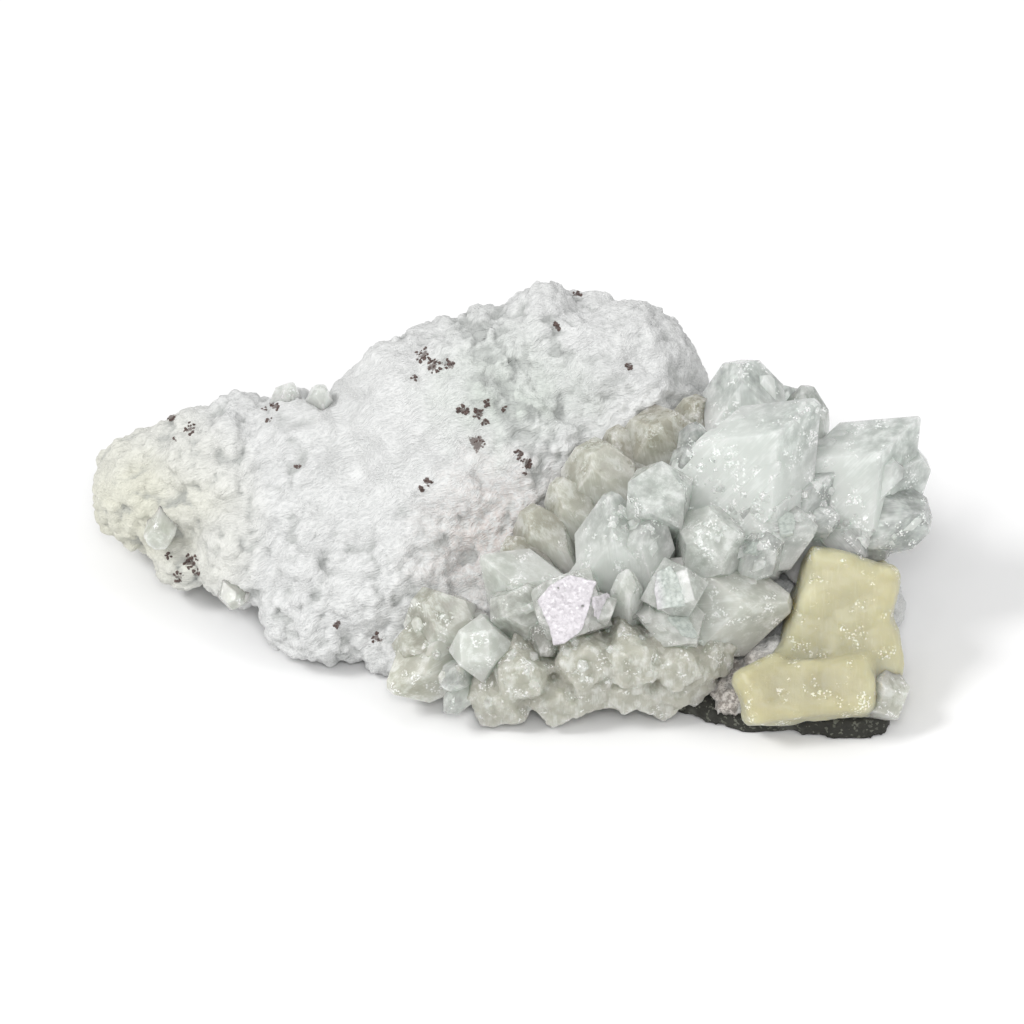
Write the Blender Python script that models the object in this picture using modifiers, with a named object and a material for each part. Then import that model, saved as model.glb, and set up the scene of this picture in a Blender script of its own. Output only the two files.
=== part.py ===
"""A mineral specimen: apophyllite crystals and cream stilbite, grown over a crust of white mordenite
on a piece of dark basalt.

The specimen lies on the basalt's flat underside. Its best face leans back like a desk, so most places
are measured on that face, in millimetres: across it, up its slope, and out of it.
"""

import math

import bmesh
import bpy
from mathutils import Matrix, Vector, noise

# Driving dimensions, in metres
MM = 0.001
FACE_MIDDLE_ACROSS = 0.5 * MM
FACE_MIDDLE_HEIGHT = 31.5 * MM
FACE_MIDDLE_SETBACK = -11.1 * MM
FACE_LOOKS_UP = math.radians(40)
JOINT_GAP = 0.35 * MM
FLOOR_CLEARANCE = 0.6 * MM

# How finely each mineral's surface is meshed
MORDENITE_VOXEL = 2.0 * MM
MORDENITE_FACES = 4200
STILBITE_VOXEL = 1.5 * MM
STILBITE_FACES = 860
BASALT_VOXEL = 3.2 * MM
BASALT_FACES = 1000

# The apophyllite's pyramid faces meet the long axis at this angle
PYRAMID_TILT = math.radians(60)

# Mordenite lobes on the face: across, up, out, then the three radii, in millimetres
MORDENITE_LOBES = [
    (-64, 4, -31, 12.0, 12.0, 12),
    (-57, 6.5, -29, 9, 12.0, 12),
    (-49, 5, -29, 13.5, 16.2, 13.5),
    (-48, -6.5, -19, 8.5, 10.5, 8),
    (-38, 1.5, -28, 15, 21.6, 15),
    (-32, -15.5, -14, 13.4, 13.2, 7.5),
    (-20, -14, -14, 15.5, 15.2, 7.5),
    (-2, -15, -19, 15, 15, 12),
    (-7, 6, -27, 29.5, 29.2, 18.5),
    (-4, 22.8, -27, 14.5, 14.6, 15),
    (16.8, 20.4, -27, 18.6, 18.4, 16),
    (6.3, 34.5, -24, 5.6, 6.7, 8),
    (11.3, 35, -25, 3.6, 4.4, 5),
    (26, -6, -29, 32, 26, 17),
    (42, -20, -19, 15, 14, 11.5),
    (44.4, -31.2, -5.4, 10.6, 8.2, 6.6),
    (60, -20, -21, 11, 14, 13),
    (-60.5, -10, -25, 4.4, 3.6, 5),
]

# Basalt outline seen from above, from the front edge round to the left: across and back, in millimetres
BASALT_PLAN = [
    (29, -18.2), (33.5, -21.8), (38, -23.8), (43, -24.4), (50, -25.2), (59, -26.6), (65.5, -26.6),
    (69, -24.6), (69, -14), (66, 4), (67, 24), (58, 40), (38, 44), (10, 45), (-20, 44), (-45, 43), (-59, 38), (-63, 31),
    (-55, 25), (-42, 10.5), (-25, -2), (0, -10.5),
]
BASALT_SHELF_BACK = 12
BASALT_SHELF_TOP = 5.6
BASALT_TOP = 60

# Planes that the basalt broke along: a point on each (across, back, height) and its outward direction
BASALT_BREAKS = [
    ((0, -14, 4.6), (0, -0.5, 1)),
    ((-12, 0, 30), (-0.46, 0.05, 1)),
    ((30, 0, 30), (0.3, 0.1, 1)),
    ((0, 45, 14), (0, 1, 0.16)),
    ((0, 40, 32), (0, 0.75, 1)),
    ((-61, 36, 8), (-1, 0.7, 0.35)),
    ((67, 10, 12), (1, 0.1, 0.3)),
]

# Apophyllite crystals. Each: tip, then root, both across, up and out of the face; half width; half
# depth; roll in degrees; how much of the point is missing beyond the tip. All lengths in millimetres.
APOPHYLLITE = [
    ("upright", (41.4, 27.2, -12), (43.5, 4, -15), 7.4, 6.0, 4, 4.1),
    ("upright_back", (50, 22.8, -16), (46, 6, -16), 4.4, 3.0, 0, 3.0),
    ("leaf", (53.4, 22.8, -12), (51.5, 4, -15), 4.4, 2.2, 15, 1.6),
    ("great", (54.6, 19.8, -1), (32, -4, -8), 9.4, 7.4, 10, 1.2),
    ("great_step", (58.0, 7.2, -3), (40, -8, -9), 5.2, 4.6, 10, 1.0),
    ("east", (73.2, 17.0, -6), (48, -8, -13), 9.4, 7.4, 4, 0.6),
    ("east_side", (74.2, 9.5, -8), (50, -6, -15), 5.6, 5.0, 8, 3.0),
    ("east_low", (74.7, -0.6, -5), (50, -3, -13), 5.8, 5.0, 8, 4.0),
    ("east_foot", (67.5, -7.6, -5), (52, -1, -12), 3.6, 3.2, 16, 1.4),
    ("east_leaf", (63, -8.4, -1), (54, 1, -8), 3.6, 1.6, 10, 1.2),
    ("east_bead", (58.3, -0.8, 1), (51, -3, -8), 2.6, 2.4, 30, 0.6),
    ("middle_back", (39.2, 12.4, 1), (38, -2, -9), 4.2, 4.2, 42, 0.6),
    ("middle_wide", (53.5, -2.5, 3), (38, -6, -9), 6.8, 6.4, 8, 2.4),
    ("middle_step", (46, 3, 2), (38, -6, -9), 5.0, 4.6, 18, 2.0),
    ("dome", (36.4, -4.6, 8), (33.5, -7, -9), 6.2, 5.4, 30, 5.0),
    ("bright_step", (46.6, -5.5, 6), (40, -10, -8), 4.8, 4.2, 20, 2.0),
    ("prow", (25.6, 4.4, 7), (27.6, -1.5, -9), 5.2, 5.0, 30, 6.4),
    ("twin_high", (32.6, 15.4, -2), (33.5, 4, -13), 2.9, 2.8, 20, 1.6),
    ("twin_low", (31.3, 11.2, 0), (32.5, 2, -12), 3.1, 2.8, 40, 1.6),
    ("tall", (17.6, 3.2, 2), (20.5, -18, -8), 7.4, 6.4, 8, 1.8),
    ("tall_side", (26.4, 0.4, 5), (20, -14, -7), 5.4, 4.8, 14, 1.0),
    ("west_block", (-5.4, -8.0, 1), (10, -19, -9), 6.2, 5.4, 4, 1.0),
    ("west_block_low", (-2.5, -17, 5), (10, -20, -9), 5.6, 5.2, 24, 3.4),
    ("mirror", (9.8, -16.6, 10), (12, -18, -9), 5.8, 5.6, 36, 8.0),
    ("mirror_chip", (16, -17.2, 9), (16, -17, -6), 2.0, 2.6, 20, 3.0),
    ("mirror_foot", (5.6, -25.2, 7), (8, -16, -8), 4.6, 4.2, 30, 1.0),
    ("obelisk", (20.4, -10.2, 9), (20.4, -24, -3), 2.2, 2.0, 40, 0.4),
    ("diamond", (28.8, -13.6, 11.5), (29, -15, -7), 4.6, 4.4, 38, 5.0),
    ("diamond_low", (32, -22.4, 10), (25, -16, -7), 4.8, 4.4, 10, 1.6),
    ("long_east", (49.6, -16.2, 2), (23, -18, -7), 9.0, 6.8, 4, 2.2),
    ("pentagon", (-6.6, -23.8, 9.5), (-3, -25, -8), 4.5, 4.3, 24, 4.4),
    ("honey_high", (-15.8, -14.8, 1), (-9, -26, -9), 6.2, 5.6, 16, 3.0),
    ("honey_side", (-20.2, -24.5, -1), (-7, -22, -9), 5.4, 5.0, 20, 3.4),
    ("honey_low", (-21.8, -31.4, 0), (-7, -23, -8), 6.0, 5.4, 8, 1.8),
    ("bead", (-12.2, -31, 6), (-6, -26, -5), 2.2, 2.0, 30, 0.6),
    ("bead_low", (-11.8, -35.4, 4), (-6, -29, -4), 2.2, 2.2, 16, 0.8),
    ("skirt_1", (-3.4, -36.2, 2), (0, -24, -8), 6.0, 5.0, 16, 3.4),
    ("skirt_2", (8.0, -36.0, 3), (8, -24, -8), 6.2, 5.0, 10, 2.6),
    ("skirt_3", (15.0, -33.8, 4), (14, -22, -8), 5.2, 5.0, 36, 2.2),
    ("skirt_4", (21.0, -33.8, 4), (20, -22, -8), 5.0, 5.0, 20, 2.2),
    ("skirt_5", (27.2, -35.4, 1), (25, -24, -8), 5.0, 4.6, 8, 2.2),
    ("skirt_6", (33.6, -32.4, 1), (27, -22, -8), 4.6, 4.4, 30, 2.0),
    ("skirt_7", (37.5, -27.2, 3), (27, -20, -8), 4.6, 4.4, 12, 2.4),
    ("lap_1", (13, -28, 9), (12, -20, -7), 5.0, 4.6, 22, 3.0),
    ("lap_2", (21.5, -28, 9), (20, -20, -7), 5.2, 4.6, 44, 3.0),
    ("lap_3", (1, -30.5, 8), (4, -22, -7), 4.8, 4.2, 14, 2.6),
    ("lap_4", (30, -29, 7), (26, -20, -7), 4.8, 4.4, 34, 2.4),
]

# The tan crystals that line the edge of the apophyllite, in the same order of values
BORDER = [
    ("rim_top", (33, 20.6, -12), (34, 6, -19), 4.6, 3.4, 10, 2.6),
    ("rim_east", (25.5, 17.4, -8), (29, 2, -17), 7.6, 4.6, 8, 5.4),
    ("rim_step", (18.6, 15.0, -9), (24, 0, -17), 4.6, 4.0, 26, 2.2),
    ("rim_middle", (14.5, 12.0, -5), (18, -4, -14), 6.8, 5.0, 14, 4.0),
    ("rim_left", (8.0, 5.6, -5), (16, -8, -13), 4.4, 4.2, 20, 2.0),
    ("rim_west", (3.2, 0.6, -5), (10, -14, -13), 5.0, 4.2, 24, 2.6),
    ("rim_foot", (-0.6, -5.2, -4), (8, -16, -13), 4.4, 4.0, 12, 2.2),
]

# Stilbite plates: centre on the face, half sizes and turn in degrees about the three face axes
STILBITE_PLATES = [
    ((58.0, -19.8, -5), (8.4, 12.6, 7.0), (4, 0, -16)),
    ((62.0, -17.6, -8), (5.4, 6.4, 6.0), (0, 8, -18)),
    ((62.6, -28.6, -5), (6.4, 8.0, 7.0), (0, 8, 0)),
    ((52.6, -32.2, 1), (11.6, 4.9, 6.0), (-8, 0, 6)),
    ((45.6, -30.6, 1), (5.0, 4.4, 5.0), (0, -12, 30)),
    ((62.0, -33.4, -3), (6.0, 3.2, 5.0), (0, 6, 6)),
]

# Apophyllite crystals that stand alone, in the same order of values as the cluster's
LONE_CRYSTALS = [
    ("apophyllite_lone_west", (-64.2, -5.4, -14.5), (-63, 2, -26), 2.2, 2.0, 30, 1.8),
    ("apophyllite_lone_rim_left", (-40.2, 23.2, -20), (-42.5, 15, -29), 2.8, 1.9, 12, 1.0),
    ("apophyllite_lone_rim_right", (-34.8, 22.8, -19), (-36, 13, -28), 2.0, 1.6, 30, 1.2),
    ("apophyllite_lone_low", (-50.2, -16.8, -11), (-51, -8, -22), 2.5, 2.1, 20, 1.6),
    ("apophyllite_lone_corner", (67.6, -34.0, 4.4), (63, -30, -7), 4.6, 4.2, 22, 4.0),
]

WHITE = (0.86, 0.86, 0.84, 1)
BASALT_GREEN = (0.06, 0.065, 0.05, 1)
ICE_GREEN = (0.72, 0.78, 0.74, 1)
CREAM = (0.72, 0.66, 0.44, 1)
HONEY = (0.60, 0.57, 0.46, 1)


def on_face(across, up, out):
    """The place of a point that is measured on the face in millimetres, as metres."""
    rise = math.cos(FACE_LOOKS_UP)
    run = math.sin(FACE_LOOKS_UP)
    back = up * MM * run - out * MM * rise + FACE_MIDDLE_SETBACK
    height = up * MM * rise + out * MM * run + FACE_MIDDLE_HEIGHT
    return Vector((across * MM + FACE_MIDDLE_ACROSS, back, height))


def on_plan(across, back, height):
    """The place of a point of the basalt that is measured from above in millimetres, as metres."""
    return Vector((across * MM + FACE_MIDDLE_ACROSS, back * MM + FACE_MIDDLE_SETBACK, height * MM))


def face_axes():
    """The face's across, up and out directions, as the columns of a rotation."""
    rise = math.cos(FACE_LOOKS_UP)
    run = math.sin(FACE_LOOKS_UP)
    rows = ((1, 0, 0), (0, run, -rise), (0, rise, run))
    return Matrix(rows).to_4x4()


def clear_scene():
    for old in list(bpy.data.objects):
        bpy.data.objects.remove(old, do_unlink=True)


def collection(name):
    made = bpy.data.collections.new(name)
    bpy.context.scene.collection.children.link(made)
    return made


def mineral(name, colour, roughness, transmission=0.0):
    made = bpy.data.materials.new(name)
    made.use_nodes = True
    shader = made.node_tree.nodes["Principled BSDF"]
    shader.inputs["Base Color"].default_value = colour
    shader.inputs["Roughness"].default_value = roughness
    shader.inputs["Metallic"].default_value = 0.0
    shader.inputs["Transmission Weight"].default_value = transmission
    made.diffuse_color = colour
    return made


def add_object(name, shape, home):
    """An object from a bmesh, linked into the collection home."""
    mesh = bpy.data.meshes.new(name)
    shape.to_mesh(mesh)
    shape.free()
    made = bpy.data.objects.new(name, mesh)
    home.objects.link(made)
    return made


def settle(thing):
    """Turns the modifiers of a thing into its plain mesh."""
    bpy.context.view_layer.update()
    graph = bpy.context.evaluated_depsgraph_get()
    mesh = bpy.data.meshes.new_from_object(thing.evaluated_get(graph))
    thing.modifiers.clear()
    thing.data = mesh
    return thing


def loose_pieces(shape):
    """The separate pieces of a bmesh, as lists of vertices."""
    left = set(shape.verts)
    pieces = []
    while left:
        start = left.pop()
        piece = [start]
        waiting = [start]
        while waiting:
            for edge in waiting.pop().link_edges:
                for vertex in edge.verts:
                    if vertex in left:
                        left.remove(vertex)
                        piece.append(vertex)
                        waiting.append(vertex)
        pieces.append(piece)
    return pieces


def keep_main_piece(thing):
    """Drops the crumbs that a cut leaves beside the main piece."""
    shape = bmesh.new()
    shape.from_mesh(thing.data)
    bmesh.ops.remove_doubles(shape, verts=shape.verts, dist=0.00001)
    pieces = sorted(loose_pieces(shape), key=len)
    crumbs = [vertex for piece in pieces[:-1] for vertex in piece]
    bmesh.ops.delete(shape, geom=crumbs, context="VERTS")
    bmesh.ops.triangulate(shape, faces=shape.faces)
    shape.to_mesh(thing.data)
    shape.free()
    return thing


def thin_out(thing, faces):
    """Collapses edges until about that many triangles are left."""
    triangles = sum(len(polygon.vertices) - 2 for polygon in thing.data.polygons)
    fewer = thing.modifiers.new("fewer", "DECIMATE")
    fewer.ratio = min(1.0, faces / triangles)
    fewer.use_collapse_triangulate = True
    return settle(thing)


def melt_together(thing, voxel, rounds):
    """Fuses overlapping closed shapes into one skin and eases its steps."""
    skin = thing.modifiers.new("skin", "REMESH")
    skin.mode = "VOXEL"
    skin.voxel_size = voxel
    ease = thing.modifiers.new("ease", "SMOOTH")
    ease.factor = 0.5
    ease.iterations = rounds
    return settle(thing)


def push_out(thing, distance_at):
    """Moves each vertex along its normal by what distance_at gives for its place."""
    mesh = thing.data
    normals = [vertex.normal.copy() for vertex in mesh.vertices]
    for vertex, normal in zip(mesh.vertices, normals):
        vertex.co += normal * distance_at(vertex.co)
    mesh.update()
    return thing


def grown(thing, by, home):
    """A copy of a thing that is larger by the same distance all over, used as a cutter."""
    cutter = bpy.data.objects.new(thing.name + "_room", thing.data.copy())
    home.objects.link(cutter)
    return push_out(cutter, lambda place: by)


def combine(thing, other, operation):
    change = thing.modifiers.new(operation.lower(), "BOOLEAN")
    change.operation = operation
    change.solver = "EXACT"
    change.object = other
    return settle(thing)


def cut_level(thing, height):
    """Cuts a thing off flat at a height and closes the cut."""
    shape = bmesh.new()
    shape.from_mesh(thing.data)
    everything = shape.verts[:] + shape.edges[:] + shape.faces[:]
    bmesh.ops.bisect_plane(
        shape, geom=everything, plane_co=(0, 0, height), plane_no=(0, 0, -1), clear_outer=True
    )
    rim = [edge for edge in shape.edges if edge.is_boundary]
    bmesh.ops.holes_fill(shape, edges=rim, sides=0)
    bmesh.ops.triangulate(shape, faces=shape.faces)
    bmesh.ops.recalc_face_normals(shape, faces=shape.faces)
    shape.to_mesh(thing.data)
    shape.free()
    return thing


def lumps(place, size, height):
    """Rounded knobs like the top of a cauliflower, one to a cell of the given size."""
    nearest = noise.voronoi(place / size, distance_metric="DISTANCE")[0][0]
    return height * (1.0 - (nearest / 0.8) ** 2) - 0.4 * height


def crag(place, size, height):
    """An uneven rise and fall, as on broken stone."""
    return height * noise.fractal(place / size, 1.0, 2.0, 3)


def cut_by_plane(shape, point, direction):
    """Cuts away what lies beyond a plane and closes the cut."""
    everything = shape.verts[:] + shape.edges[:] + shape.faces[:]
    bmesh.ops.bisect_plane(
        shape, geom=everything, plane_co=point, plane_no=direction, clear_outer=True
    )
    rim = [edge for edge in shape.edges if edge.is_boundary]
    bmesh.ops.holes_fill(shape, edges=rim, sides=0)


def crystal(values, home, larger=0.0):
    """A square prism with a four-sided point whose faces cut its corners, blunted by a flat end.

    Every face stands further out by the distance larger.
    """
    name, tip, root, half_width, half_depth, roll, missing = values
    root_place = on_face(*root)
    axis = on_face(*tip) - root_place
    length = axis.length
    wide = half_width * MM + larger
    deep = half_depth * MM + larger
    shape = bmesh.new()
    bmesh.ops.create_cube(shape, size=1.0)
    bmesh.ops.translate(shape, verts=shape.verts, vec=(0, 0, 0.5))
    bmesh.ops.scale(shape, verts=shape.verts, vec=(2 * wide, 2 * deep, 2 * length))
    bmesh.ops.translate(shape, verts=shape.verts, vec=(0, 0, -larger))
    apex = length + missing * MM + larger / math.cos(PYRAMID_TILT)
    for quarter in range(4):
        corner = math.radians(45 + 90 * quarter)
        across = math.sin(PYRAMID_TILT)
        direction = (math.cos(corner) * across, math.sin(corner) * across, math.cos(PYRAMID_TILT))
        cut_by_plane(shape, (0, 0, apex), direction)
    cut_by_plane(shape, (0, 0, length + larger), (0, 0, 1))
    bmesh.ops.recalc_face_normals(shape, faces=shape.faces)
    # At no roll, one prism face looks straight out of the face of the specimen.
    outward = face_axes().to_3x3().col[2]
    side = axis.cross(outward).normalized()
    front = side.cross(axis).normalized()
    stand = Matrix((side, front, axis.normalized())).transposed()
    turn = stand.to_4x4() @ Matrix.Rotation(math.radians(roll), 4, "Z")
    bmesh.ops.transform(shape, matrix=Matrix.Translation(root_place) @ turn, verts=shape.verts)
    return add_object(name, shape, home)


def fuse_crystals(name, crystals, home, helpers, larger=0.0):
    """One solid of all the crystals given, whose own objects are then dropped."""
    first, *others = [crystal(values, helpers, larger) for values in crystals]
    cluster = bpy.data.objects.new(name, first.data.copy())
    home.objects.link(cluster)
    for other in others:
        combine(cluster, other, "UNION")
    for used in [first, *others]:
        bpy.data.objects.remove(used)
    return cluster


def basalt_block(name, breaks, home):
    """The basalt's outline raised into a block that is then cut by the breaks given."""
    shape = bmesh.new()
    floor = [shape.verts.new(on_plan(across, back, -4)) for across, back in BASALT_PLAN]
    base = shape.faces.new(floor)
    raised = bmesh.ops.extrude_face_region(shape, geom=[base])["geom"]
    top = [part for part in raised if isinstance(part, bmesh.types.BMVert)]
    bmesh.ops.translate(shape, verts=top, vec=(0, 0, BASALT_TOP * MM))
    bmesh.ops.recalc_face_normals(shape, faces=shape.faces)
    for point, direction in breaks:
        cut_by_plane(shape, on_plan(*point), Vector(direction).normalized())
    bmesh.ops.recalc_face_normals(shape, faces=shape.faces)
    bmesh.ops.triangulate(shape, faces=shape.faces)
    return add_object(name, shape, home)


def make_basalt(home, helpers):
    """The matrix: a broken wedge of basalt, low in front and high at the back, with a flat underside."""
    basalt = basalt_block("basalt_matrix", BASALT_BREAKS, home)
    shelf_breaks = [((0, 0, BASALT_SHELF_TOP), (0, 0, 1)), ((0, BASALT_SHELF_BACK, 0), (0, 1, 0))]
    shelf = basalt_block("basalt_shelf", shelf_breaks, helpers)
    combine(basalt, shelf, "UNION")
    bpy.data.objects.remove(shelf)
    melt_together(basalt, BASALT_VOXEL, 2)
    push_out(basalt, lambda place: crag(place, 13 * MM, 1.3 * MM))
    thin_out(basalt, BASALT_FACES)
    room = grown(basalt, JOINT_GAP, helpers)
    cut_level(basalt, 0.0)
    return keep_main_piece(basalt), room


def make_mordenite(home, helpers, basalt_room):
    """The white crust: knobbly lobes fused into one, over the basalt's slope and ridge."""
    shape = bmesh.new()
    turn = face_axes()
    for across, up, out, wide, tall, deep in MORDENITE_LOBES:
        size = Matrix.Diagonal((wide * MM, tall * MM, deep * MM, 1))
        place = Matrix.Translation(on_face(across, up, out))
        bmesh.ops.create_icosphere(shape, subdivisions=4, radius=1, matrix=place @ turn @ size)
    crust = add_object("mordenite_crust", shape, home)
    melt_together(crust, MORDENITE_VOXEL, 3)
    push_out(crust, lambda place: lumps(place, 9 * MM, 2.8 * MM) + lumps(place, 5 * MM, 1.2 * MM))
    thin_out(crust, MORDENITE_FACES)
    room = grown(crust, JOINT_GAP, helpers)
    cut_level(crust, FLOOR_CLEARANCE)
    combine(crust, basalt_room, "DIFFERENCE")
    return keep_main_piece(crust), room


def make_stilbite(home, helpers, rooms):
    """Cream stilbite: blunt, bulging plates grown through each other."""
    shape = bmesh.new()
    face = face_axes()
    for centre, half_sizes, turns in STILBITE_PLATES:
        wide, tall, deep = (size * MM for size in half_sizes)
        tilt = Matrix.Identity(4)
        for angle, axis in zip(turns, "XYZ"):
            tilt = tilt @ Matrix.Rotation(math.radians(angle), 4, axis)
        place = Matrix.Translation(on_face(*centre)) @ face @ tilt
        made = bmesh.ops.create_cube(shape, size=2.0)["verts"]
        bmesh.ops.transform(
            shape, matrix=place @ Matrix.Diagonal((wide, tall, deep, 1)), verts=made
        )
    stilbite = add_object("stilbite_sheaf", shape, home)
    melt_together(stilbite, STILBITE_VOXEL, 4)
    push_out(stilbite, lambda place: lumps(place, 5 * MM, 0.9 * MM))
    thin_out(stilbite, STILBITE_FACES)
    own_room = grown(stilbite, JOINT_GAP, helpers)
    cut_level(stilbite, FLOOR_CLEARANCE)
    for room in rooms:
        combine(stilbite, room, "DIFFERENCE")
    return keep_main_piece(stilbite), own_room


def make_cluster(name, crystals, home, helpers, rooms):
    """Crystals fused into one solid that stops short of what it grew on."""
    cluster = fuse_crystals(name, crystals, home, helpers)
    cut_level(cluster, FLOOR_CLEARANCE)
    for room in rooms:
        combine(cluster, room, "DIFFERENCE")
    return keep_main_piece(cluster)


def finish(thing, material, smooth_under=None):
    thing.data.materials.clear()
    thing.data.materials.append(material)
    if smooth_under is not None:
        thing.data.shade_smooth()
        thing.data.set_sharp_from_angle(angle=math.radians(smooth_under))


def main():
    clear_scene()
    specimen = collection("apophyllite_specimen")
    helpers = collection("cutters")

    basalt, basalt_room = make_basalt(specimen, helpers)
    mordenite, mordenite_room = make_mordenite(specimen, helpers, basalt_room)
    rooms = [mordenite_room, basalt_room]

    apophyllite = make_cluster("apophyllite_cluster", APOPHYLLITE, specimen, helpers, rooms)
    rooms.append(fuse_crystals("apophyllite_room", APOPHYLLITE, helpers, helpers, JOINT_GAP))
    border = make_cluster("stilbite_border", BORDER, specimen, helpers, rooms)
    rooms.append(fuse_crystals("border_room", BORDER, helpers, helpers, JOINT_GAP))
    stilbite, stilbite_room = make_stilbite(specimen, helpers, rooms)
    rooms.append(stilbite_room)

    finish(basalt, mineral("basalt", BASALT_GREEN, 0.75), smooth_under=30)
    finish(mordenite, mineral("mordenite", WHITE, 0.9), smooth_under=60)
    finish(stilbite, mineral("stilbite", CREAM, 0.4), smooth_under=40)
    finish(border, mineral("stilbite_tan", HONEY, 0.35, 0.3))
    clear = mineral("apophyllite", ICE_GREEN, 0.1, 0.6)
    finish(apophyllite, clear)
    for room in rooms:
        room.hide_render = True
        room.display_type = "WIRE"
    for name, *values in LONE_CRYSTALS:
        lone = make_cluster(name, [("prism", *values)], specimen, helpers, rooms)
        finish(lone, clear)


main()
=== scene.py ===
# %% [markdown]
# # Apophyllite on mordenite and basalt
#
# This is a mineral specimen as long as a hand: clear, blocky apophyllite crystals and cream
# stilbite, grown over a crust of white mordenite on a piece of dark basalt. The plain solids are
# loaded first. Each is then replaced by a finer piece with the surface that the mineral really has.

import math
import random

import bpy
import numpy as np
from mathutils import Matrix, Vector, noise
from mathutils.bvhtree import BVHTree


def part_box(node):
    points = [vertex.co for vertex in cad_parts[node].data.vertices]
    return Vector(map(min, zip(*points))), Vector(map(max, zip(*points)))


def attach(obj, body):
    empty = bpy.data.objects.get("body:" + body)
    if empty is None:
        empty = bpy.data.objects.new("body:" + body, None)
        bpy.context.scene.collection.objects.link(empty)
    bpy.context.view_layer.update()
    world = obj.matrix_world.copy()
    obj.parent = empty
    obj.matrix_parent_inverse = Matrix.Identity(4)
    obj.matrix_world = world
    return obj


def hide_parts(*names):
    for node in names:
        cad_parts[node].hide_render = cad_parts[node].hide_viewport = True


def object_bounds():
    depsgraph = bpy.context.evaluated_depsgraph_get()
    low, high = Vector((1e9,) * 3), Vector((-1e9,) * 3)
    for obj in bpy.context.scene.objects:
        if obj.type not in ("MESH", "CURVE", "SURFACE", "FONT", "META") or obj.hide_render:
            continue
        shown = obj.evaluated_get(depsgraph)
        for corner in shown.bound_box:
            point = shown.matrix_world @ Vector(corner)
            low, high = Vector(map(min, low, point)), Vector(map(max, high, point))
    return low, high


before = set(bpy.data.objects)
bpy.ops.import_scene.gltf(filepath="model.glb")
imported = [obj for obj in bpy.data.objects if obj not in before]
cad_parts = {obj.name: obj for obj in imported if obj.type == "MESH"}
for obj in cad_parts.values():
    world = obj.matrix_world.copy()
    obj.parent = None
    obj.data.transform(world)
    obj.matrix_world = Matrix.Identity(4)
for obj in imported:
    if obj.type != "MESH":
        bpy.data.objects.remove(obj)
solids_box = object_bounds()
bpy.ops.object.select_all(action="DESELECT")
for node in sorted(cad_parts):
    low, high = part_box(node)
    print(node, [round(1000 * side, 1) for side in high - low], "mm")

# %% [markdown]
# The best face of the specimen leans back like a desk. It is easiest to say where things are on
# that face: how far across it, how far up its slope, and how far out of it. One helper turns such
# a place, in millimetres, into a place in the scene, in metres.

# %% Measure on the leaning face
MM = 0.001
FACE_LOOKS_UP = math.radians(40)
FACE_MIDDLE = Vector((0.5, -11.1, 31.5)) * MM
UP_THE_FACE = Vector((0, math.sin(FACE_LOOKS_UP), math.cos(FACE_LOOKS_UP)))
OUT_OF_FACE = Vector((0, -math.cos(FACE_LOOKS_UP), math.sin(FACE_LOOKS_UP)))


def on_face(across, up, out):
    return FACE_MIDDLE + MM * (Vector((across, 0, 0)) + up * UP_THE_FACE + out * OUT_OF_FACE)


print("middle of the face", FACE_MIDDLE)

# %% [markdown]
# A specimen like this is photographed from in front of its face through a long lens, so that near
# and far crystals keep their sizes. The camera therefore stands more than a metre away.

# %% Camera
FRAME_WIDTH = 0.1843
LENS = 200
SENSOR = 36
camera_data = bpy.data.cameras.new("camera")
camera_data.lens = LENS
camera_data.sensor_width = SENSOR
camera_data.clip_end = 20
camera = bpy.data.objects.new("camera", camera_data)
scene = bpy.context.scene
scene.collection.objects.link(camera)
scene.camera = camera
camera.location = on_face(0, 0, -8) + OUT_OF_FACE * FRAME_WIDTH * LENS / SENSOR
camera.rotation_euler = (-OUT_OF_FACE).to_track_quat("-Z", "Y").to_euler()
print("camera stands", round(camera.location.length, 2), "m away")

# %% [markdown]
# Minerals have patterns inside patterns, so their materials need many small sums. Written with
# nodes one by one, such sums are hard to read. This small class holds one output of a node and
# lets Python's own signs add the Math nodes: `1 - mask` then means what it says.

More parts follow.
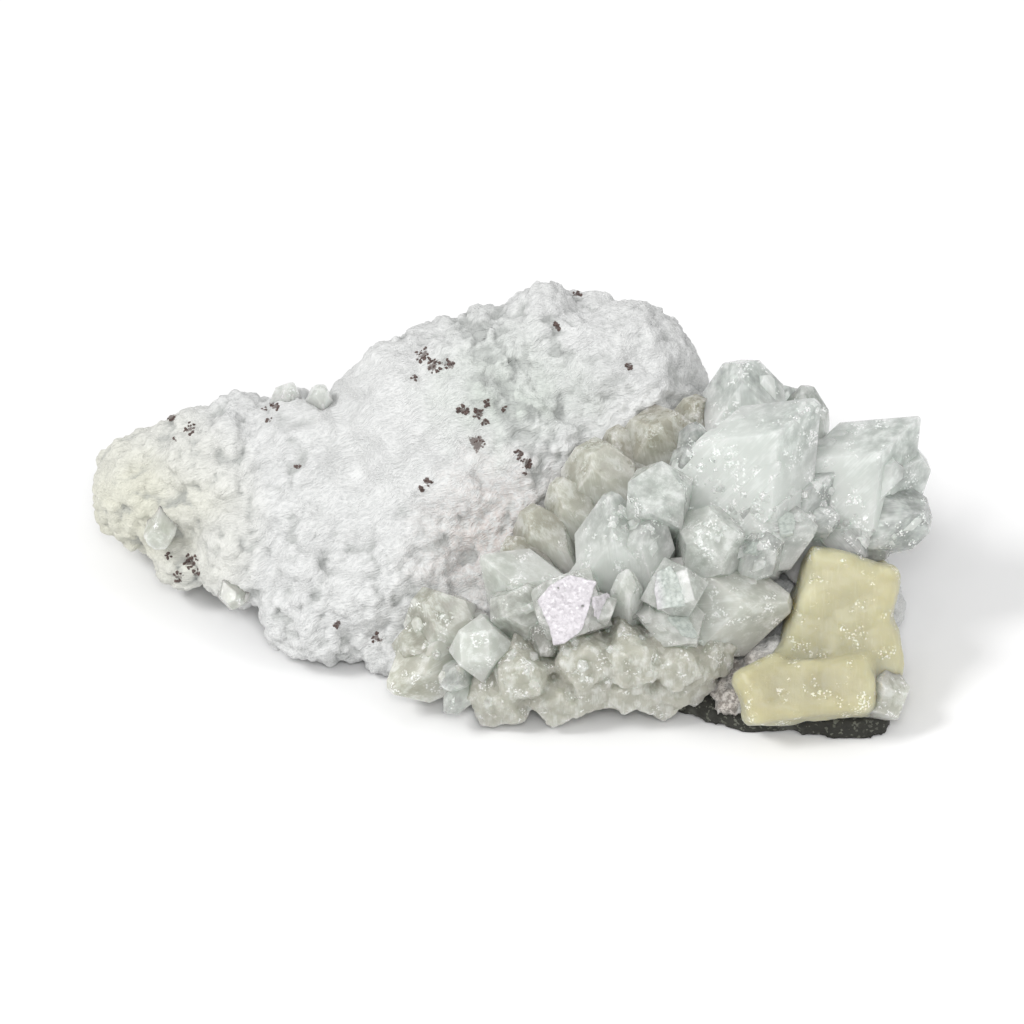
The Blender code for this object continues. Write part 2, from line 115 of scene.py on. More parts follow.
# %% A shorthand for shader sums
class Wire:
    """One output of a shader node, which can be used in sums."""

    def __init__(self, tree, socket):
        self.tree = tree
        self.socket = socket

    def node(self, kind, inputs=None, output=0, **settings):
        """Adds a node of any kind and gives one of its outputs."""
        made = self.tree.nodes.new(kind)
        for name, value in settings.items():
            setattr(made, name, value)
        for key, value in (inputs or {}).items():
            if isinstance(value, Wire):
                self.tree.links.new(value.socket, made.inputs[key])
            else:
                made.inputs[key].default_value = value
        return Wire(self.tree, made.outputs[output])

    def maths(self, operation, *values):
        return self.node("ShaderNodeMath", dict(enumerate(values)), operation=operation)

    def __add__(self, other):
        return self.maths("ADD", self, other)

    __radd__ = __add__

    def __mul__(self, other):
        return self.maths("MULTIPLY", self, other)

    __rmul__ = __mul__

    def __sub__(self, other):
        return self.maths("SUBTRACT", self, other)

    def __rsub__(self, other):
        return self.maths("SUBTRACT", other, self)

    def between(self, low, high):
        """0 where this is low, 1 where it is high, and a soft step between."""
        span = {"Value": self, "From Min": low, "From Max": high}
        return self.node("ShaderNodeMapRange", span, interpolation_type="SMOOTHSTEP")

    def mix(self, first, second):
        """The first colour where this is 0, the second where it is 1."""
        return self.node(
            "ShaderNodeMix", {0: self, 6: first, 7: second}, output=2, data_type="RGBA"
        )

    def stretch(self, x, y, z):
        """The same place, measured in these lengths."""
        return self.node("ShaderNodeMapping", {"Vector": self, "Scale": (1 / x, 1 / y, 1 / z)})

    def vector(self, operation, values, output=0):
        return self.node("ShaderNodeVectorMath", values, output, operation=operation)

    def shaken(self, size, amount):
        """The same place, moved about by soft noise."""
        centred = self.vector("SUBTRACT", {0: self.noise(size, 2, output=1), 1: (0.5, 0.5, 0.5)})
        moved = self.vector("SCALE", {0: centred, "Scale": amount})
        return self.vector("ADD", {0: self, 1: moved})

    def near(self, place, radius, soft):
        """1 within the radius of a place, 0 outside it and its soft edge."""
        return 1 - self.vector("DISTANCE", {0: self, 1: place}, 1).between(radius, radius + soft)

    def noise(self, size, detail=3.0, roughness=0.5, output=0):
        """Soft noise with bumps of about this size, in metres."""
        values = {"Vector": self, "Scale": 1 / size, "Detail": detail, "Roughness": roughness}
        return self.node("ShaderNodeTexNoise", values, output)

    def cells(self, size, output):
        """Cells about this wide, in metres: output 1 is a cell's colour, and 2 is its middle."""
        values = {"Vector": self, "Scale": 1 / size}
        return self.node("ShaderNodeTexVoronoi", values, output)

    def lots(self, size):
        """A number between 0 and 1 for each cell, drawn by lot."""
        return self.node("ShaderNodeSeparateColor", {"Color": self.cells(size, 1)})

    def bump(self):
        """Turns this height, in metres, into the tilt of the surface."""
        return self.node("ShaderNodeBump", {"Height": self, "Strength": 1.0, "Distance": 1.0})

    def facets(self, size):
        """A height that rises in its own direction in each cell, like chipped facets."""
        middle = self.cells(size, 2)
        seeds = Wire(self.tree, middle.socket.node.outputs[1])
        leaning = self.vector("SUBTRACT", {0: seeds, 1: (0.5, 0.5, 0.5)})
        inside = self.vector("SUBTRACT", {0: self, 1: middle})
        return self.vector("DOT_PRODUCT", {0: leaning, 1: inside}, 1)

    def attribute(self, name, output=2):
        """What each point of the mesh has noted under this name."""
        return self.node("ShaderNodeAttribute", output=output, attribute_name=name)


print("shader shorthand ready")

# %% [markdown]
# Every material starts from the Principled shader, which is enough for felt, rock and satin
# crystal. Only the clear crystals need two of them, mixed. Patterns use the object's own
# coordinates, so they stay on the piece from every side.

# %% Make a material
def new_material(name):
    """A material: gives it, its Principled shader and the place on the surface."""
    material = bpy.data.materials.new(name)
    material.use_nodes = True
    tree = material.node_tree
    shader = tree.nodes["Principled BSDF"]
    coordinates = tree.nodes.new("ShaderNodeTexCoord")
    return material, shader, Wire(tree, coordinates.outputs["Object"])


def plug(shader, **values):
    """Sets or links a shader's sockets: Base_Color stands for the socket Base Color."""
    for name, value in values.items():
        socket = shader.inputs[name.replace("_", " ")]
        if isinstance(value, Wire):
            value.tree.links.new(value.socket, socket)
        else:
            socket.default_value = value


def blend_shaders(material, factor, first, second):
    """Shows the first shader where the factor is 0 and the second where it is 1."""
    tree = material.node_tree
    both = tree.nodes.new("ShaderNodeMixShader")
    tree.links.new(factor.socket, both.inputs[0])
    tree.links.new(first.outputs[0], both.inputs[1])
    tree.links.new(second.outputs[0], both.inputs[2])
    tree.links.new(both.outputs[0], tree.nodes["Material Output"].inputs["Surface"])


print("materials can be made")

# %% [markdown]
# Several pieces start as a copy of their solid, which gives them the right place and size. A
# solid's mesh is loose triangles, so its doubles are merged first. A voxel remesh then gives it
# an even skin that is fine enough to shape.

# %% Start a piece from its solid
def make_active(piece):
    bpy.ops.object.select_all(action="DESELECT")
    piece.select_set(True)
    bpy.context.view_layer.objects.active = piece


def apply_modifier(piece, kind, **settings):
    make_active(piece)
    modifier = piece.modifiers.new(kind.lower(), kind)
    for name, value in settings.items():
        setattr(modifier, name, value)
    bpy.ops.object.modifier_apply(modifier=modifier.name)


def edit_all():
    """Goes into edit mode with everything selected."""
    bpy.ops.object.mode_set(mode="EDIT")
    bpy.ops.mesh.select_all(action="SELECT")


def copy_of(piece):
    copy = piece.copy()
    copy.data = piece.data.copy()
    scene.collection.objects.link(copy)
    return copy


def piece_from_solid(node, name, voxel):
    piece = copy_of(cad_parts[node])
    piece.name = name
    piece.parent = None
    for key in list(piece.keys()):
        del piece[key]
    make_active(piece)
    edit_all()
    bpy.ops.mesh.remove_doubles(threshold=0.00001)
    bpy.ops.object.mode_set(mode="OBJECT")
    apply_modifier(piece, "REMESH", mode="VOXEL", voxel_size=voxel)
    return piece


def press_texture(piece, kind, size, strength, middle=0.5, group="", **settings):
    """Moves a piece's skin in and out by a texture with features of this size."""
    texture = bpy.data.textures.new(kind.lower(), kind)
    texture.noise_scale = size
    for name, value in settings.items():
        setattr(texture, name, value)
    apply_modifier(
        piece, "DISPLACE", texture=texture, texture_coords="LOCAL", strength=strength,
        mid_level=middle, vertex_group=group,
    )


def ease(piece, rounds):
    apply_modifier(piece, "SMOOTH", factor=0.5, iterations=rounds)


print("skin tools ready")

# %% [markdown]
# Some shaping is easier with all of a piece's points in one array than with a tool. An attribute
# keeps a number at each point for the piece's material. The last helper does what every finished
# piece needs.

# %% Work on all points at once
def read_points(piece):
    values = np.empty(3 * len(piece.data.vertices), dtype=np.float32)
    piece.data.vertices.foreach_get("co", values)
    return values.reshape(-1, 3)


def write_points(piece, points):
    piece.data.vertices.foreach_set("co", points.astype(np.float32).ravel())
    piece.data.update()


def write_attribute(piece, name, values):
    """Notes a number, or three, at each point of a piece for its material to read."""
    values = np.asarray(values, dtype=np.float32)
    kind, field = ("FLOAT", "value") if values.ndim == 1 else ("FLOAT_VECTOR", "vector")
    made = piece.data.attributes.new(name, kind, "POINT")
    made.data.foreach_set(field, values.ravel())


def keep_inside(piece):
    """Moves points that have left the whole specimen's box back to its sides."""
    low, high = (np.array(corner) for corner in solids_box)
    write_points(piece, np.clip(read_points(piece), low, high))


def triangles(piece):
    return sum(len(face.vertices) - 2 for face in piece.data.polygons)


def finish_piece(piece, material, nodes, smooth_angle=180):
    keep_inside(piece)
    piece.data.materials.clear()
    piece.data.materials.append(material)
    make_active(piece)
    bpy.ops.object.shade_smooth_by_angle(angle=math.radians(smooth_angle))
    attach(piece, "root")
    if nodes:
        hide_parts(*nodes)
    print(piece.name, triangles(piece), "triangles")


print("point tools ready")

# %% [markdown]
# A texture would press the whole skin alike. A vertex group holds it back in one place and lets
# it work in another: each point gets a weight between 0 and 1, in twenty steps. Some weights
# depend on how near a point is to a line drawn across the face, which makes folds. Each row below
# gives a fold's width, its depth and its line, in millimetres. Finer folds run beside the main one.

# %% Press some places more than others
WEIGHT_STEPS = 20


def weigh(piece, name, weights):
    group = piece.vertex_groups.new(name=name)
    steps = np.clip((np.asarray(weights) * WEIGHT_STEPS).round() / WEIGHT_STEPS, 0, 1)
    for step in np.unique(steps[steps > 0]):
        group.add(np.flatnonzero(steps == step).tolist(), float(step), "REPLACE")


def near_line(points, line, width):
    """1 on a line of (across, up) places and less towards its width on each side."""
    nearest = np.full(len(points), np.inf)
    for start, end in zip(np.array(line[:-1], dtype=float), np.array(line[1:], dtype=float)):
        run = end - start
        along = np.clip((points - start) @ run / (run @ run), 0, 1)
        nearest = np.minimum(nearest, np.linalg.norm(points - start - along[:, None] * run, axis=1))
    return np.exp(-((nearest / width) ** 2))


FOLDS = [
    (1.2, 1.2, [(-8.1, 36), (-6.0, 30), (-4.4, 25.5), (-1.8, 20.5), (2.0, 14.5), (6.3, 8.5)]),
    (0.9, 1.0, [(-2.5, 33), (-0.6, 27), (0.6, 21.5), (2.6, 17.5)]),
    (1.1, 1.0, [(7.0, 34), (8.4, 29.5), (9.3, 25.5)]),
    (1.0, 0.8, [(-23, 34), (-17, 31), (-13.5, 31.5)]),
    (1.2, 0.7, [(-33.7, 22.9), (-37, 18.4), (-40, 14.8), (-39.4, 11), (-39, 7.6)]),
    (1.0, 0.6, [(-39, 7.6), (-41, 2), (-39.5, -5)]),
    (1.0, 0.4, [(-6.5, 12), (-11.5, 9), (-20, 6.5)]),
    (1.1, 0.5, [(-12, -5), (-17, -8), (-23, -12.5)]),
    (1.0, 0.8, [(9, 20), (13.5, 14), (12.5, 9.5)]),
]
MAIN_FOLD = FOLDS[0][2]
for beside in (-2.1, 2.0, 3.8):
    FOLDS.append((0.6, 0.7, [(across + beside, up) for across, up in MAIN_FOLD]))
print(len(FOLDS), "folds drawn")

# %% [markdown]
# Mordenite grows as a felt of needles finer than hair. The felt follows every knob beneath it, so
# the crust looks like white cauliflower. The knobs come in several sizes. A Voronoi texture gives
# each size, because its rounded cells look like knobs that have grown until they touched. On two
# smoother domes the knobs are held back. The folds are swayed a little, as nothing grew straight.

# %% Mordenite crust
crust = piece_from_solid("mordenite_crust", "mordenite", voxel=0.6 * MM)
ease(crust, rounds=8)
before = read_points(crust)
outward = np.array([vertex.normal for vertex in crust.data.vertices])
away = before - np.array(FACE_MIDDLE)
across_up = np.stack([away[:, 0], away @ np.array(UP_THE_FACE)], axis=1) / MM


def from_dome(middle, reach):
    """How far each point is from a dome's middle, where 1 is the dome's edge."""
    return np.linalg.norm((across_up - middle) / reach, axis=1)


off_left_dome = np.clip(from_dome((-24, 14), (20, 15)) - 0.35, 0.25, 1)
right_dome = np.exp(-(from_dome((22, 28), (11, 8)) ** 2))
weigh(crust, "knobby", off_left_dome * (1 - 0.4 * right_dome))
sway = np.sin(across_up[:, ::-1] * (0.9, 0.7) + np.sin(across_up * 0.45) * 1.5) * 1.1
depths = [depth * near_line(across_up + sway, line, width) for width, depth, line in FOLDS]
weigh(crust, "folds", 0.8 * sum(depths))
apply_modifier(crust, "DISPLACE", strength=-1.0 * MM, mid_level=0, vertex_group="folds")
KNOBS = {"middle": 0.35, "distance_metric": "DISTANCE_SQUARED", "noise_intensity": 1.3}
KNOB_SIZES = [(4.2, 1.1), (2.2, 1.15), (1.25, 0.5)]
for width, depth in KNOB_SIZES:
    press_texture(crust, "VORONOI", width * MM, -depth * MM, group="knobby", **KNOBS)
press_texture(crust, "CLOUDS", 0.9 * MM, 0.3 * MM, noise_depth=2)
raised = ((read_points(crust) - before) * outward).sum(axis=1)
print("knobs and hollows from", raised.min() / MM, "to", raised.max() / MM, "mm")

# %% [markdown]
# Small things are easiest to place where the camera sees them. A helper finds where the line of
# sight through a place on the face meets a piece, and which way the piece faces there.

# %% Find what the camera sees
def surface_under(piece):
    tree = BVHTree.FromObject(piece, bpy.context.evaluated_depsgraph_get())

    def meet(across, up):
        """The point that is seen at this place on the face, and which way it faces."""
        eye = camera.location
        return tree.ray_cast(eye, (on_face(across, up, 0) - eye).normalized())[:2]

    return meet


meet_crust = surface_under(crust)
print("middle of the crust is seen at", meet_crust(0, 20)[0])

# %% [markdown]
# Specks of a dark brown mineral are scattered over the white felt. Each speck is a crowd of grains
# no larger than sand. One grain is modelled, and its copies are dropped on the crust. Each row
# gives a crowd's place on the face, its radius in millimetres and its number of grains.

# %% Brown grains
SPECKS = [
    (-15.7, 28.0, 1.5, 16), (-14.0, 26.2, 1.4, 16), (-11.0, 26.4, 1.1, 12), (-17.4, 24.0, 0.6, 4),
    (-8.8, 18.2, 1.0, 12), (-6.0, 17.6, 1.0, 12), (-4.5, 19.4, 0.7, 8), (-4.8, 16.2, 0.7, 6),
    (-6.3, 12.4, 1.6, 8), (1.2, 10.2, 0.9, 10), (2.6, 8.8, 1.1, 14), (2.4, 6.9, 0.5, 4),
    (-15.0, 5.4, 0.8, 8), (-16.4, 4.2, 0.6, 5), (8.1, 33.1, 0.7, 7), (11.6, 39.0, 0.8, 8),
    (20.8, 26.1, 0.7, 8), (-61.0, 17.0, 1.0, 14), (-57.6, 14.9, 1.1, 14), (-60.3, 12.8, 0.4, 3),
    (-42.4, 18.9, 0.9, 9), (-44.3, 18.4, 0.5, 4), (-43.3, 16.4, 0.6, 4), (-33.0, 22.4, 0.7, 7),
    (-38.2, 8.2, 0.7, 5), (-31.3, -20.0, 0.8, 8), (-59.5, -11.6, 1.0, 8), (-57.4, -8.8, 1.4, 16),
    (-56.4, -11.0, 0.9, 9), (-61.4, -7.7, 0.7, 6), (-1.4, 18.6, 0.5, 3), (-24.0, -22.6, 1.0, 6),
]


def named(piece, name):
    piece.name = name
    piece.data.name = name
    return piece


def join(pieces, name):
    make_active(pieces[0])
    for piece in pieces:
        piece.select_set(True)
    bpy.ops.object.join()
    return named(pieces[0], name)


bpy.ops.object.select_all(action="DESELECT")
bpy.ops.mesh.primitive_ico_sphere_add(subdivisions=1, radius=1)
grain = bpy.context.object
edit_all()
bpy.ops.transform.vertex_random(offset=0.35, seed=2)
bpy.ops.object.mode_set(mode="OBJECT")
random.seed(3)
grains = []
for across, up, radius, count in SPECKS:
    for number in range(count):
        angle = random.uniform(0, math.tau)
        reach = radius * math.sqrt(random.random())
        place, tilt = meet_crust(across + reach * math.cos(angle), up + reach * math.sin(angle))
        if place is None:
            continue
        size = random.uniform(0.22, 0.5) * MM
        turn = Matrix.Rotation(random.uniform(0, math.tau), 4, random.choice("XYZ"))
        squash = (size, size * random.uniform(0.5, 1), size * random.uniform(0.5, 1), 1)
        sunk = Matrix.Translation(place - tilt * size * 0.1)
        grains.append(copy_of(grain))
        grains[-1].data.transform(sunk @ turn @ Matrix.Diagonal(squash))
bpy.data.objects.remove(grain)
specks = join(grains, "brown_grains")
rust, shader, place = new_material("brown_mineral")
shade = place.noise(0.0008, 2)
plug(
    shader,
    Base_Color=shade.mix((0.035, 0.024, 0.022, 1), (0.16, 0.105, 0.09, 1)),
    Roughness=0.45,
    Normal=(0.0001 * place.noise(0.0003, 3)).bump(),
)
finish_piece(specks, rust, [], smooth_angle=20)

# %% [markdown]
# The felt is stained a little around each crowd of grains. Its colour is also darkened in the
# hollows between its knobs: that is painted shade, put where shade falls. A material can't measure
# either, so both are worked out here for each point.

# %% Mordenite stains and painted shade
SPREAD = 1.25
HOLLOW_DEPTH = 1.2 * MM
stain = np.zeros(len(before))
for across, up, radius, count in SPECKS:
    place, tilt = meet_crust(across, up)
    if place is None:
        continue
    reach = np.linalg.norm(read_points(crust) - np.array(place), axis=1)
    stain = np.maximum(stain, np.clip(SPREAD - reach / (radius * MM * SPREAD), 0, 1))
write_attribute(crust, "stain", stain)
# Painted shade: how far each point lies down in a hollow, so that the felt can be greyed there.
write_attribute(crust, "hollow_shade", np.clip(0.4 - raised / HOLLOW_DEPTH, 0, 1.5))
print("stained points", int((stain > 0).sum()))

# %% [markdown]
# The felt's colour drifts slowly over the crust: yellowish at its thin end, faintly green in the
# folds, and pink where iron has seeped in along the crystals. Such slow changes are worked out
# once for each point of the mesh. So is the lie of the fibres: each point notes where it is along
# and across them, shaken a little so that they wave.

# %% Drifts of colour and fibre
FIBRE_LIE = math.radians(25)
FIBRE_LENGTH = 1.5
FIBRE_WIDTH = 0.34


def drift(points, size, start=0.0):
    """Soft noise between 0 and 1 at each point, with bumps of about this size."""
    shift = Vector((start, start, start))
    return np.array([0.5 + 0.5 * noise.noise(Vector(point) / size + shift) for point in points])


def patch(places, middle, radius, soft):
    """1 within the radius of a place on the face, less over its soft edge, then 0."""
    reach = np.linalg.norm(places - middle, axis=1)
    return np.clip(1 - (reach - radius) / soft, 0, 1)


slow = drift(before, size=9 * MM)
quick = drift(before, size=3.5 * MM, start=5)
shaken_places = across_up + 7 * np.stack([slow - 0.5, quick - 0.5], axis=1)
write_attribute(crust, "cloud", np.clip(0.75 * slow + 0.5 * quick - 0.12, 0, 1))
write_attribute(crust, "yellow", patch(across_up, (-71, -2), 4, 24) * (0.35 + 0.65 * slow))
green = patch(shaken_places, (-3, 23), 3, 13) + patch(shaken_places, (10, 21), 1, 9) * 0.6
write_attribute(crust, "green", green * (0.3 + 0.9 * quick))
write_attribute(crust, "pink", patch(shaken_places, (-2, -5), 2, 17))
write_attribute(crust, "pink_foot", patch(across_up, (41, -34), 7, 7))
cosine, sine = math.cos(FIBRE_LIE), math.sin(FIBRE_LIE)
lengthwise = across_up @ (cosine, sine) + 3 * (slow - 0.5)
sideways = across_up @ (-sine, cosine) + 2.4 * (quick - 0.5) + 3 * (slow - 0.5)
upwards = away @ np.array(OUT_OF_FACE) / MM
fibre = [lengthwise / FIBRE_LENGTH, sideways / FIBRE_WIDTH, upwards / FIBRE_WIDTH]
write_attribute(crust, "fibre", np.stack(fibre, axis=1))
print("green points", int((green > 0.1).sum()))

# %% [markdown]
# A felt has no gloss, but its countless fibre ends catch light at a grazing angle, so the shader
# gets a little sheen. Noise that is longer along the fibres than across them gives their lie.

# %% Mordenite felt
felt, shader, place = new_material("mordenite_felt")
fibres = place.attribute("fibre", 1).noise(1, 2, 0.7)
fine = place.noise(0.0009, 3, 0.7)
hollow_shade = place.attribute("hollow_shade")
white = place.attribute("cloud").mix((0.72, 0.725, 0.72, 1), (0.79, 0.795, 0.785, 1))
white = ((1 - fibres).between(0.42, 0.62) * 0.55).mix(white, (0.57, 0.58, 0.575, 1))
white = place.attribute("yellow").mix(white, (0.72, 0.71, 0.57, 1))
white = (place.attribute("green") * 0.5).mix(white, (0.54, 0.61, 0.53, 1))
white = (place.attribute("pink") * 0.5 * fine.between(0.35, 0.65)).mix(white, (0.58, 0.45, 0.40, 1))
foot_tint = fine.between(0.4, 0.6).mix((0.28, 0.255, 0.23, 1), (0.64, 0.60, 0.56, 1))
white = place.attribute("pink_foot").mix(white, foot_tint)
# Painted shade: the felt turns grey in the hollows between its knobs.
white = (hollow_shade.between(0.5, 1.3) * (0.35 + 0.6 * fine)).mix(white, (0.40, 0.415, 0.40, 1))
rusty = (place.attribute("stain") + (fine - 0.5) * 2.2).between(0.55, 0.8)
white = (rusty * 0.8).mix(white, (0.12, 0.085, 0.075, 1))
plug(
    shader,
    Base_Color=white,
    Roughness=0.95,
    Sheen_Weight=0.15,
    Sheen_Roughness=0.5,
    Specular_IOR_Level=0.2,
    Normal=(0.00048 * fibres).bump(),
)
finish_piece(crust, felt, ["mordenite_crust"])

# %% [markdown]
# Basalt is cooled lava: dark, fine-grained and broken by hammer blows, with small holes left by
# gas. The solid already has its broken facets. Finer chips and holes are pressed into its skin,
# and the shader adds the grains: dark olive ones, paler ones, and a few that glint.

# %% Basalt
rock = piece_from_solid("basalt_matrix", "basalt", voxel=0.9 * MM)
press_texture(rock, "CLOUDS", 6 * MM, 1.0 * MM, noise_depth=4, noise_type="HARD_NOISE")
press_texture(rock, "VORONOI", 3.4 * MM, 0.7 * MM, middle=0.6, distance_metric="CHEBYCHEV")
press_texture(rock, "CLOUDS", 1.1 * MM, 0.3 * MM)
stone, shader, place = new_material("basalt_stone")
crumbs = place.shaken(0.0006, 0.0006).lots(0.00045)
glinting = crumbs.between(0.88, 0.94)
mottle = place.noise(0.004, 5, 0.65)
dark = mottle.mix((0.012, 0.012, 0.010, 1), (0.05, 0.05, 0.038, 1))
dark = glinting.mix(dark, (0.13, 0.135, 0.105, 1))
lining = place.noise(0.009, 3, 0.6).between(0.62, 0.75)
dark = (lining * 0.5).mix(dark, (0.20, 0.21, 0.175, 1))
plug(
    shader,
    Base_Color=dark,
    Roughness=0.68 - 0.4 * glinting,
    Normal=(0.0005 * place.noise(0.0007, 5, 0.7) + 0.0003 * crumbs).bump(),
)
finish_piece(rock, stone, ["basalt_matrix"])

# %% [markdown]
# Stilbite grows in sheaves of thin plates that splay at their ends. This one is a thick cream
# wedge with a rounded lobe in front. Its plates lie along the face, so their edges show at its
# sides as layers: each point there is drawn in by how far it is through its layer. It is cloudy
# right through, so light sinks in and comes out warmer: that is subsurface scattering. Its skin is
# satin, with small chipped patches of tiny facets and painted glints: white flecks in the colour.

# %% Stilbite sheaf
sheaf = piece_from_solid("stilbite_sheaf", "stilbite", voxel=0.42 * MM)
ease(sheaf, rounds=20)
apply_modifier(sheaf, "DISPLACE", strength=0.25 * MM, mid_level=0)
LAYER = 1.3 * MM
LAYER_DEPTH = 0.42 * MM
LIGHT_SINKS = 0.010
points = read_points(sheaf)
outward = np.array([vertex.normal for vertex in sheaf.data.vertices])
through = points @ np.array(OUT_OF_FACE) / LAYER + 4 * drift(points, 9 * MM)
edge_on = 1 - np.abs(outward @ np.array(OUT_OF_FACE))
write_points(sheaf, points - outward * (LAYER_DEPTH * edge_on * (through % 1) ** 2)[:, None])
press_texture(sheaf, "CLOUDS", 8 * MM, 0.3 * MM, noise_depth=1)
press_texture(sheaf, "VORONOI", 3.0 * MM, -0.09 * MM, **KNOBS)
press_texture(sheaf, "VORONOI", 1.2 * MM, -0.1 * MM, **KNOBS)
cream, shader, place = new_material("stilbite_cream")
cloud = place.noise(0.007, 2, 0.6)
plates = place.stretch(0.0005, 0.0025, 0.004).noise(1, 3, 0.6)
chipped = place.noise(0.004, 2, 0.7).between(0.54, 0.62)
facets = place.facets(0.00045) * chipped
# Painted glints: tiny white flecks in the chipped patches.
painted_glint = place.lots(0.0003).between(0.74, 0.8) * chipped
colour = cloud.mix((0.46, 0.435, 0.275, 1), (0.55, 0.525, 0.36, 1))
colour = (plates.between(0.5, 0.75) * 0.3).mix(colour, (0.66, 0.64, 0.48, 1))
lobe = place.near(on_face(50, -33, 0), 0.010, 0.008)
colour = (lobe * 0.55).mix(colour, (0.40, 0.375, 0.245, 1))
# The painted glints are mixed into the colour here.
colour = (painted_glint * 0.7).mix(colour, (0.92, 0.91, 0.82, 1))
plug(
    shader,
    Base_Color=colour,
    Roughness=0.3 + 0.15 * cloud,
    IOR=1.5,
    Subsurface_Weight=1.0,
    Subsurface_Scale=LIGHT_SINKS,
    Subsurface_Radius=(1, 0.85, 0.5),
    Normal=(0.00006 * plates + 0.00008 * place.noise(0.0009, 2, 0.7) + 0.7 * facets).bump(),
)
finish_piece(sheaf, cream, ["stilbite_sheaf"])

# %% [markdown]
# Apophyllite grows as square prisms with a four-sided point, often with the point cut flat. Each
# row below names one crystal: where its tip and its root are on the face, half its width and
# depth, how far it is rolled about its length, and how much of the point is missing. The last
# numbers say how many smaller crystals grew in step with it, how warm its colour is, and how clear
# it is. The tan crystals of the border are listed in the same way.

